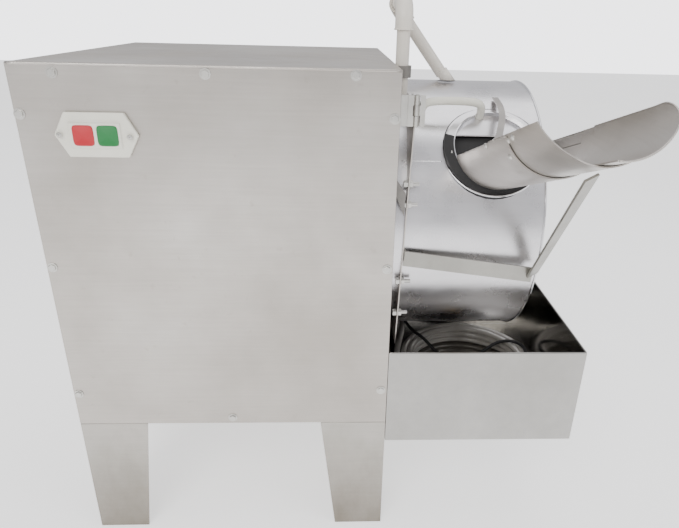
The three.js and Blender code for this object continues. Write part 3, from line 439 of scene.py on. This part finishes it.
def makeCord(name, cord, sides, spacing, slot):
    path, length = smoothPath(at(coilRoute(cord)), spacing / 1000.0)
    for _ in range(cord["easing"]):  # each pass moves a point halfway to the middle of its neighbours, ends held
        path[1:-1] = 0.5 * path[1:-1] + 0.25 * (path[:-2] + path[2:])
    length = float(np.linalg.norm(np.diff(path, axis=0), axis=1).sum())
    radius = cord["radius"] / 1000.0
    count = len(path)
    along = np.linspace(0, length, count)
    points = tubePoints(path, radius, sides)
    uv = np.stack(np.broadcast_arrays(along[:, None] * 100, np.linspace(0, 1, sides)[None, :]), axis=-1)
    piece = makePiece(name, points, "machine", closeColumns=True, caps=True, flip=True, uv=uv)
    dress(piece, slot)
    return piece, path, length


hosePiece, hoseRoute, hoseLength = makeCord("water_hose_tube", hose, 14, 2.5, "hose_plastic")
leadPiece, leadRoute, leadLength = makeCord("mains_lead_cable", lead, 10, 2.5, "black_rubber")
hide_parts("water_hose", "water_hose_coil")
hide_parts("mains_lead", "mains_lead_coil")
print("cords laid", round(hoseLength, 3), round(leadLength, 3))


# CAD nodes: finishes, and smooth copies of the round ones
slotOf = {row["node"]: row["material_slot"] for row in frame["record"]["subparts"]}
special = {
    "leg_front_left": "legSteel", "leg_front_right": "legSteel", "leg_rear_left": "legSteel",
    "leg_rear_right": "legSteel", "catch_tray": "traySteel",
    "drum_shell": "drumSteel", "drum_end_cover": "drumSteel", "support_bar": "strutSteel",
}
softEdges = {
    "front_panel": 0.5, "cabinet_shell": 0.5, "rear_panel": 0.4, "switch_plate": 1.2, "support_bar": 0.5,
    "leg_front_left": 0.5, "leg_front_right": 0.5, "leg_rear_left": 0.5, "leg_rear_right": 0.5, "catch_tray": 0.4,
    "side_gusset": 0.3, "mains_plug": 2.0, "motor_body": 0.6,
}
rounded = [
    "drum_shell", "drum_end_cover", "port_liner", "chute_base", "chute_middle", "feed_scoop",
    "drum_handle", "riser_pipe", "top_elbow", "sloping_pipe", "supply_pipe", "pipe_clip", "flange_plate",
    "hose_tail", "beater_drum", "main_shaft", "driven_pulley", "motor_pulley", "motor_shaft",
    "outer_bearing", "inner_bearing", "shaft_seal", "finger_bar_1", "finger_bar_2", "finger_bar_3", "drive_belt",
    "hinge_leaf_fixed", "hinge_leaf_moving", "hinge_pin", "flange_bolt_1", "flange_bolt_2", "flange_bolt_3",
    "flange_bolt_4",
]
ownPieces = {"water_hose", "water_hose_coil", "mains_lead", "mains_lead_coil", "stop_button", "start_button",
             "port_collar", "hanger_strap"}
for node, cadObject in frame["nodes"].items():
    if node in ownPieces:
        continue
    material = finishes[special.get(node, slotOf[node])]
    if node in rounded or node in softEdges:
        if node == "mains_plug":
            cadObject.data.materials.clear()
            cadObject.data.materials.append(material)
            continue
        piece = smoothCopy(node, softEdges.get(node, 0.0))
        dress(piece, slotOf[node], material)
    else:
        cadObject.data.materials.clear()
        cadObject.data.materials.append(material)
print("nodes dressed")


# push buttons
buttons = {"half": 13.0, "cornerPower": 6, "slots": {"stop_button": "red_plastic", "start_button": "green_plastic"}}


def makeButton(node, x, middleZ, slot):
    # squared dome: a superellipse outline shrunk and raised towards its middle, with a shallow dish
    angle = np.linspace(0, 2 * np.pi, 64, endpoint=False)
    outline = np.stack([np.cos(angle), np.sin(angle)], axis=1)
    outline /= (np.abs(outline) ** buttons["cornerPower"]).sum(axis=1, keepdims=True) ** (1 / buttons["cornerPower"])
    rows = [(1.0, 12.0), (1.0, -4.0), (1.0, -8.2), (0.985, -9.0), (0.93, -9.4), (0.86, -9.3), (0.6, -8.8), (0.3, -8.5),
            (0.02, -8.4)]
    half = buttons["half"]
    points = np.array([[(x + half * s * u, depth, middleZ + half * s * v) for u, v in outline]
                       for s, depth in rows])
    piece = makePiece(node + "_cap", at(points), node, closeColumns=True, caps=True)
    dress(piece, slot)
    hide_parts(node)


for node, slot in buttons["slots"].items():
    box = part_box(node)
    middle = (np.array(box[0]) + np.array(box[1])) / 2 - cabinetCorner
    makeButton(node, float(middle[0] * 1000), float(middle[2] * 1000), slot)


# screws
screws = {
    "panel": [(54.6, 744), (238, 746), (422.6, 748), (6.5, 694), (7.5, 486), (7.5, 274), (473, 696), (471.6, 486),
              (470.5, 279), (238, 228)],
    "station": [(53.8, 670.6), (140, 669)],
    "headRadius": 5.2,
    "headHeight": 3.2,
    "roundHead": [(3.4, 0), (3.4, 1.0), (2.6, 1.9), (0.6, 2.2), (0.1, 1.2)],
}


def hexHead(centre, axis, radius, height, washer):
    # six-sided head with a chamfered crown over a round washer: radius follows a hexagon above the washer
    sides = 36
    profile = np.array([(washer, 0.0), (washer, 0.9), (radius, 1.0), (radius, height * 0.85),
                        (radius * 0.86, height), (0.3, height)])
    points = turned(profile, (0, 0, 0), axis, sides)
    angle = np.linspace(0, 2 * np.pi, sides, endpoint=False)
    hexagon = np.cos(np.pi / 6) / np.cos((angle % (np.pi / 3)) - np.pi / 6)
    axis = np.asarray(axis, dtype=float)
    along = points @ axis
    flat = points - along[..., None] * axis
    shape = np.ones((len(profile), sides))
    shape[2:5] = hexagon
    return np.asarray(centre) + flat * shape[..., None] + along[..., None] * axis


def joined(name, grids, body, slot, flip=False):  # several closed grids in one mesh
    points, faces, count = [], [], 0
    for grid in grids:
        rows, columns = grid.shape[:2]
        quads = gridFaces(rows, columns, False, True) + count
        if flip:
            quads = quads[:, ::-1]
        faces += quads.tolist()
        first = list(range(count, count + columns))
        last = list(range(count + (rows - 1) * columns, count + rows * columns))
        faces += [first[::-1], last] if flip else [first, last[::-1]]
        points.append(grid.reshape(-1, 3))
        count += rows * columns
    mesh = bpy.data.meshes.new(name)
    mesh.from_pydata(np.vstack(points).tolist(), [], faces)
    mesh.polygons.foreach_set("use_smooth", np.zeros(len(faces), dtype=bool))
    mesh.update()
    fixNormals(mesh)
    return dress(placePiece(name, mesh, body), slot)


def fixNormals(mesh):
    shape = bmesh.new()
    shape.from_mesh(mesh)
    bmesh.ops.recalc_face_normals(shape, faces=shape.faces)
    shape.to_mesh(mesh)
    shape.free()


joined("panel_screws", [at(hexHead((x, -0.1, z), (0, -1, 0), screws["headRadius"], screws["headHeight"], 7.0))
                        for x, z in screws["panel"]], "machine", "zinc_steel")
joined("station_screws", [at(turned(screws["roundHead"], (x, -8.1, z), (0, -1, 0), 24))
                          for x, z in screws["station"]], "machine", "zinc_steel")
print("screws set")


# drum: rolled rims, welded seam, port clamp
drum = {"y": 245.0, "z": 508.0, "radius": 211.5, "right": 702.8, "rimThick": 1.6,
        "seam": (492, 550), "seamAngle": 33.8}


def drumPoint(x, elevation, radius):
    angle = math.radians(elevation)
    return np.array([x, drum["y"] - radius * math.cos(angle), drum["z"] + radius * math.sin(angle)])


dress(ringTube("drum_rim_right", at((drum["right"] - 1.2, drum["y"], drum["z"])), (drum["radius"] + 0.4) / 1000,
               (1, 0, 0), drum["rimThick"] / 1000, "drum", 160), "bright_steel")
seamX = np.linspace(*drum["seam"], 90)
seam = np.stack([seamX, np.full(90, 0.0), np.full(90, 0.0)], axis=1)
seamPoint = drumPoint(0, drum["seamAngle"], drum["radius"] + 0.1)
seam[:, 1:] = seamPoint[1:]
dress(makePiece("drum_seam", tubePoints(at(seam), 0.0011 + 0.0003 * np.sin(np.arange(90) * 1.9), 10), "drum",
                closeColumns=True, caps=True, flip=True), "bright_steel")

port = {"x": 626.0, "elevation": 39.4, "hoop": 58.0, "hoopThick": 1.4, "sleeve": (59.6, 72.8), "cover": 72.5,
        "coverEdge": 20.0, "skin": 211.5, "lip": 73.8, "lipThick": 1.4}
portAngle = math.radians(port["elevation"])
portNormal = np.array([0.0, -math.cos(portAngle), math.sin(portAngle)])
portRoot = np.array([port["x"], drum["y"], drum["z"]])
portUp = np.array([0.0, math.sin(portAngle), math.cos(portAngle)])


def portPoint(across, upward, outward):  # a point given across the port, up its slope and out along its middle line
    across, upward, outward = np.broadcast_arrays(across, upward, outward)
    return (portRoot + across[..., None] * np.array([1.0, 0, 0]) + upward[..., None] * portUp
            + outward[..., None] * portNormal)


def portBand(name, start, end, inner, outer, low, high, slot, count=90):
    # four-sided section carried round the port; low and high are measured from the drum's skin at each angle
    angle = np.radians(np.linspace(start, end, count))[:, None]
    radius = np.array([inner, outer, outer, inner])[None, :]
    lift = np.array([low, low, high, high])[None, :]
    upward = radius * np.sin(angle)
    skin = np.sqrt(port["skin"] ** 2 - upward ** 2)
    piece = makePiece(name, at(portPoint(radius * np.cos(angle), upward, skin + lift)), "drum", closeColumns=True,
                      caps=True)
    fixNormals(piece.data)
    piece.data.polygons.foreach_set("use_smooth", np.zeros(len(piece.data.polygons), dtype=bool))
    return dress(piece, slot)


def portSheet(name, radius, low, high, cylinder, thick, slot, material=None):
    # part of a cylinder's skin inside a circle: half width sqrt(radius^2 - v^2), outward sqrt(cylinder^2 - v^2)
    upward = np.linspace(low, high, 24)[:, None]
    across = np.linspace(-1, 1, 33)[None, :] * np.maximum(np.sqrt(np.maximum(radius ** 2 - upward ** 2, 0)), 1.0)
    outward = np.sqrt(cylinder ** 2 - upward ** 2)
    front = at(portPoint(across, upward, outward))
    back = at(portPoint(across, upward, outward - thick))
    loop = np.concatenate([front, back[:, ::-1]], axis=1)
    piece = makePiece(name, loop, "drum", closeColumns=True, caps=True)
    fixNormals(piece.data)
    return dress(piece, slot, material)


portBand("port_hoop", -25, 200, port["hoop"], port["hoop"] + port["hoopThick"], 1.0, 10.0, "bright_steel", 140)
sleeve = portBand("port_sleeve", 165, 345, *port["sleeve"], -6.0, 9.5, "black_rubber", 110)
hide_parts("port_collar")
portSheet("port_cover", port["cover"], port["coverEdge"], 72.3, 212.4, 1.4, "bright_steel", finishes["drumSteel"])
# black sheet across the port's lower opening, just inside the drum skin: painted shade standing in for the dark inside
# of the drum
portSheet("port_painted_shade_sheet", 70.5, -69.5, port["coverEdge"] + 4, 206.0, 3.0, "black_rubber")
lipAngle = np.radians(np.linspace(205, 320, 60))
lipPath = at(portPoint(port["lip"] * np.cos(lipAngle), port["lip"] * np.sin(lipAngle), np.full(60, 210.0)))
lipPoints = tubePoints(lipPath, port["lipThick"] / 1000, 10, portNormal)
lipPiece = makePiece("port_lip", lipPoints, "drum", closeColumns=True, caps=True)
fixNormals(lipPiece.data)
dress(lipPiece, "bright_steel")
clampPlace = portPoint(np.array(-62.5), np.array(-3.0), np.array(217.5)).reshape(3)
boltAxis = np.cross(portNormal, (1, 0, 0))
boltProfile = [(0.2, -9), (3.4, -9), (3.4, -5), (1.9, -5), (1.9, 9), (3.2, 9), (3.2, 12), (0.2, 12)]
joined("clamp_bolt", [at(turned(boltProfile, clampPlace, boltAxis, 18))], "drum", "zinc_steel")


# strap from the drum to the scoop
strap = {"width": 9.0, "thick": 1.6, "points": [(641, 158, 704.5), (638.6, 135, 703), (636.5, 108, 699.5),
         (632.3, 78, 692.5), (622.9, 42, 686.5), (613, 10, 682), (598, -40, 682.5), (584, -80, 686.5)]}
strapPath, _ = smoothPath(at(strap["points"]), 0.003)
strapAlong = np.gradient(strapPath, axis=0)
strapAlong /= np.linalg.norm(strapAlong, axis=1, keepdims=True)
strapSide = np.array([1.0, 0, 0]) - strapAlong * strapAlong[:, :1]  # square to the strap, as level as it can be
strapSide /= np.linalg.norm(strapSide, axis=1, keepdims=True)
strapLift = np.cross(strapSide, strapAlong)
cornerSide = np.array([-1, 1, 1, -1])[None, :, None] * strap["width"] / 2000
cornerLift = np.array([-1, -1, 1, 1])[None, :, None] * strap["thick"] / 2000
strapPoints = strapPath[:, None, :] + cornerSide * strapSide[:, None, :] + cornerLift * strapLift[:, None, :]
strapPiece = makePiece("hanger_strap_flat", strapPoints, "drum", closeColumns=True, caps=True)
fixNormals(strapPiece.data)
strapPiece.data.polygons.foreach_set("use_smooth", np.zeros(len(strapPiece.data.polygons), dtype=bool))
dress(strapPiece, "sheet_steel")
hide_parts("hanger_strap")
print("drum trimmed")


# chute: rolled rims, right wall and rivets
chute = {"origin": (627.0, 85.3, 645.6), "axis": (0.1, -0.934, 0.343), "radius": 65.0}
chuteAxis = np.array(chute["axis"]) / np.linalg.norm(chute["axis"])
chuteUp = np.array([0, 0, 1.0]) - chuteAxis * chuteAxis[2]
chuteUp /= np.linalg.norm(chuteUp)
chuteRight = np.cross(chuteUp, chuteAxis)


def onChute(along, angle, radius):
    along, angle, radius = np.broadcast_arrays(np.asarray(along, float), np.radians(angle), np.asarray(radius, float))
    centre = np.array(chute["origin"]) + along[..., None] * chuteAxis
    return centre + radius[..., None] * (np.cos(angle)[..., None] * chuteRight + np.sin(angle)[..., None] * chuteUp)


def rimBead(name, along, angle, radius, thick):
    path, _ = smoothPath(at(onChute(along, angle, radius)), 0.003)
    reference = chuteUp if abs(float(np.mean(np.gradient(path, axis=0) @ chuteUp))) < 1e-3 else chuteRight
    piece = makePiece(name, tubePoints(path, thick / 1000, 10, reference), "drum", closeColumns=True, caps=True,
                      flip=True)
    return dress(piece, "sheet_steel")


mouth = 190 + 134
scoopInner = chute["radius"] - 2 * 2.4 - 0.75
cornerSteps = np.radians(np.linspace(0, 90, 9))
cornerHeight = -35 + 35 * np.sin(cornerSteps)
cornerAlong = mouth - 35 + 35 * np.cos(cornerSteps)
cornerAngle = 360 + np.degrees(np.arcsin(np.clip(cornerHeight / scoopInner, -1, -0.01)))
rimBead("scoop_rim", np.concatenate([np.full(12, mouth), cornerAlong, np.linspace(mouth - 45, 172, 12)]),
        np.concatenate([np.linspace(264, cornerAngle[0] - 1.5, 12), cornerAngle, np.full(12, 359.0)]), scoopInner, 1.1)
rimBead("trough_rim_left", np.linspace(24, 195, 24), np.full(24, 195.2), chute["radius"] - 0.75, 1.1)
rimBead("trough_rim_right", np.linspace(24, 140, 20), np.full(20, 358.8), chute["radius"] - 0.75, 1.1)
wallAlong = np.linspace(24, 186, 30)[:, None]
wallAngle = np.concatenate([np.linspace(344.6, 358.8, 8), np.linspace(358.8, 344.6, 8)])[None, :]
wallRadius = np.concatenate([np.full(8, chute["radius"]), np.full(8, chute["radius"] - 1.5)])[None, :]
wallPiece = makePiece("trough_wall_right", at(onChute(wallAlong, wallAngle, wallRadius)), "drum", closeColumns=True,
                      caps=True)
fixNormals(wallPiece.data)
dress(wallPiece, "sheet_steel")
joined("chute_rivets", [
    at(turned([(3.6, -0.4), (3.6, 0.3), (2.8, 1.3), (1.4, 1.9), (0.1, 2.0)], onChute(a, t, r).reshape(3),
              (onChute(a, t, r) - onChute(a, t, 0)).reshape(3), 20))
    for a, t, r in ((136, 196.5, 65.2), (209, 198.5, 62.8), (186, 216, 65.2), (196, 200, 62.8))
], "drum", "zinc_steel")
print("chute trimmed")


# tray rim and cabinet folds
tray = {"left": 480.6, "right": 787.6, "front": 0.0, "back": 385.0, "top": 346.0, "bead": 1.6}
inset = tray["bead"] * 0.6
loop = [(tray["left"] + inset, tray["front"] + inset), (tray["right"] - inset, tray["front"] + inset),
        (tray["right"] - inset, tray["back"] - inset), (tray["left"] + inset, tray["back"] - inset)]


def roundedLoop(corners, radius, height, steps=6):  # straight runs joined by quarter circles
    corners = np.array(corners, dtype=float)
    before, after = np.roll(corners, 1, axis=0) - corners, np.roll(corners, -1, axis=0) - corners
    before /= np.linalg.norm(before, axis=1, keepdims=True)
    after /= np.linalg.norm(after, axis=1, keepdims=True)
    turn = np.linspace(0, np.pi / 2, steps)[None, :, None]
    centre = corners + radius * (before + after)
    arc = centre[:, None, :] - radius * (np.cos(turn) * after[:, None, :] + np.sin(turn) * before[:, None, :])
    flat = arc.reshape(-1, 2)
    return np.column_stack([flat, np.full(len(flat), height)])


trayLoop = at(roundedLoop(loop, 3.0, tray["top"] - 0.4))
side = np.gradient(np.vstack([trayLoop[-1], trayLoop, trayLoop[0]]), axis=0)[1:-1]
side /= np.linalg.norm(side, axis=1, keepdims=True)
outward = np.cross(side, (0, 0, 1.0))
ringAngle = np.linspace(0, 2 * np.pi, 10, endpoint=False)[None, :, None]
trayBead = trayLoop[:, None, :] + tray["bead"] / 1000 * (
    np.cos(ringAngle) * outward[:, None, :] + np.sin(ringAngle) * np.array([0, 0, 1.0]))
trayRim = makePiece("tray_rim", trayBead, "machine", closeRows=True, closeColumns=True)
fixNormals(trayRim.data)
dress(trayRim, "bright_steel", finishes["traySteel"])
foldX = np.linspace(1.5, 478.5, 60)
fold = np.stack([foldX, np.full(60, 1.0), np.full(60, 754.0)], axis=1)
foldPiece = makePiece("cabinet_top_fold", tubePoints(at(fold), 0.0019, 12), "machine", closeColumns=True, caps=True,
                      flip=True)
dress(foldPiece, "sheet_steel")


# water pipe: lips of the sockets
pipes = {"lipRadius": 12.4, "lip": 1.2}
lips = [((491, 115, 799.5), (0, 0, 1)), ((491, 148.5, 833), (0, 1, 0)), ((491, 216.5, 833), (0, 1, 0))]
for k, (centre, normal) in enumerate(lips):
    dress(ringTube("pipe_lip_%d" % (k + 1), at(centre), pipes["lipRadius"] / 1000, normal, pipes["lip"] / 1000,
                   "machine", 48, 10), "white_pipe")
pipeEnd = {"radius": 9.55, "down": (0.629, 0.0, -0.777), "stop": 722.6}
pipeBox = (np.array(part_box("sloping_pipe")) - cabinetCorner) * 1000
pipeDown = np.array(pipeEnd["down"])
pipeFoot = np.array([pipeBox[1][0] - 9.5 * 0.777, pipeBox[0][1] + 9.5, pipeBox[0][2] + 9.5 * 0.629])
turnAngle = np.linspace(0, 2 * np.pi, 40, endpoint=False)[:, None]
pipeSide = np.array([0, 1.0, 0])
footRing = pipeEnd["radius"] * (np.cos(turnAngle) * pipeSide + np.sin(turnAngle) * np.cross(pipeDown, pipeSide))
startRing = pipeFoot - 8 * pipeDown + footRing
stopRing = startRing + ((pipeEnd["stop"] - startRing[:, 2:]) / pipeDown[2]) * pipeDown  # runs on to a level cut
footPiece = makePiece("sloping_pipe_end", at(np.stack([startRing, stopRing])), "machine", closeColumns=True, caps=True)
fixNormals(footPiece.data)
dress(footPiece, "white_pipe")
print("trim finished")


# light and floor
def makeLight(name, place, aim, size, power, colour=(1.0, 1.0, 1.0)):
    data = bpy.data.lights.new(name, "AREA")
    data.size = size
    data.energy = power
    data.color = colour
    lamp = bpy.data.objects.new(name, data)
    lamp.location = place
    direction = np.array(aim, dtype=float) - np.array(place, dtype=float)
    back = -direction / np.linalg.norm(direction)
    right = np.cross((0, 0, 1.0), back)
    right /= np.linalg.norm(right)
    turn = np.eye(4)
    turn[:3, 0], turn[:3, 1], turn[:3, 2], turn[:3, 3] = right, np.cross(back, right), back, place
    lamp.matrix_world = Matrix(turn.tolist())
    bpy.context.scene.collection.objects.link(lamp)


makeLight("key", (-0.9, -2.3, 2.2), (0.1, 0.0, 0.45), 1.6, 44, (1.0, 0.985, 0.96))
makeLight("fill", (2.2, -1.5, 1.6), (0.2, 0.0, 0.5), 1.4, 14, (0.97, 0.98, 1.0))
makeLight("above", (0.2, 0.5, 2.7), (0.1, 0.1, 0.3), 2.0, 20)
world = bpy.data.worlds.new("room")
world.use_nodes = True
world.node_tree.nodes["Background"].inputs[0].default_value = (0.97, 0.97, 1.0, 1)
world.node_tree.nodes["Background"].inputs[1].default_value = 0.80
skyTree = world.node_tree
ray = skyTree.nodes.new("ShaderNodeLightPath")  # the room reads as white, while its light on the steel stays soft
bright = skyTree.nodes.new("ShaderNodeMath")
bright.operation = "MULTIPLY_ADD"
skyTree.links.new(ray.outputs["Is Camera Ray"], bright.inputs[0])
bright.inputs[1].default_value = 2.6
bright.inputs[2].default_value = 0.80
skyTree.links.new(bright.outputs[0], skyTree.nodes["Background"].inputs[1])
bpy.context.scene.world = world

floorMesh = bpy.data.meshes.new("floor")
reach = 9.0
floorDepth = floorHeight - 0.0002
floorMesh.from_pydata([(-reach, -reach, floorDepth), (reach, -reach, floorDepth), (reach, reach, floorDepth),
                       (-reach, reach, floorDepth)], [], [(0, 1, 2, 3)])
floorPiece = bpy.data.objects.new("floor", floorMesh)
bpy.context.scene.collection.objects.link(floorPiece)
paleFloor = finish("paleFloor", (0.88, 0.88, 0.88), (0.92, 0.92, 0.92), 0.75, 0.05, blotch=1.5, bump=0.05)
paleFloor.node_tree.nodes["Principled BSDF"].inputs["Emission Color"].default_value = (1, 1, 1, 1)
paleFloor.node_tree.nodes["Principled BSDF"].inputs["Emission Strength"].default_value = 0.9
floorMesh.materials.append(paleFloor)
print("stage set")
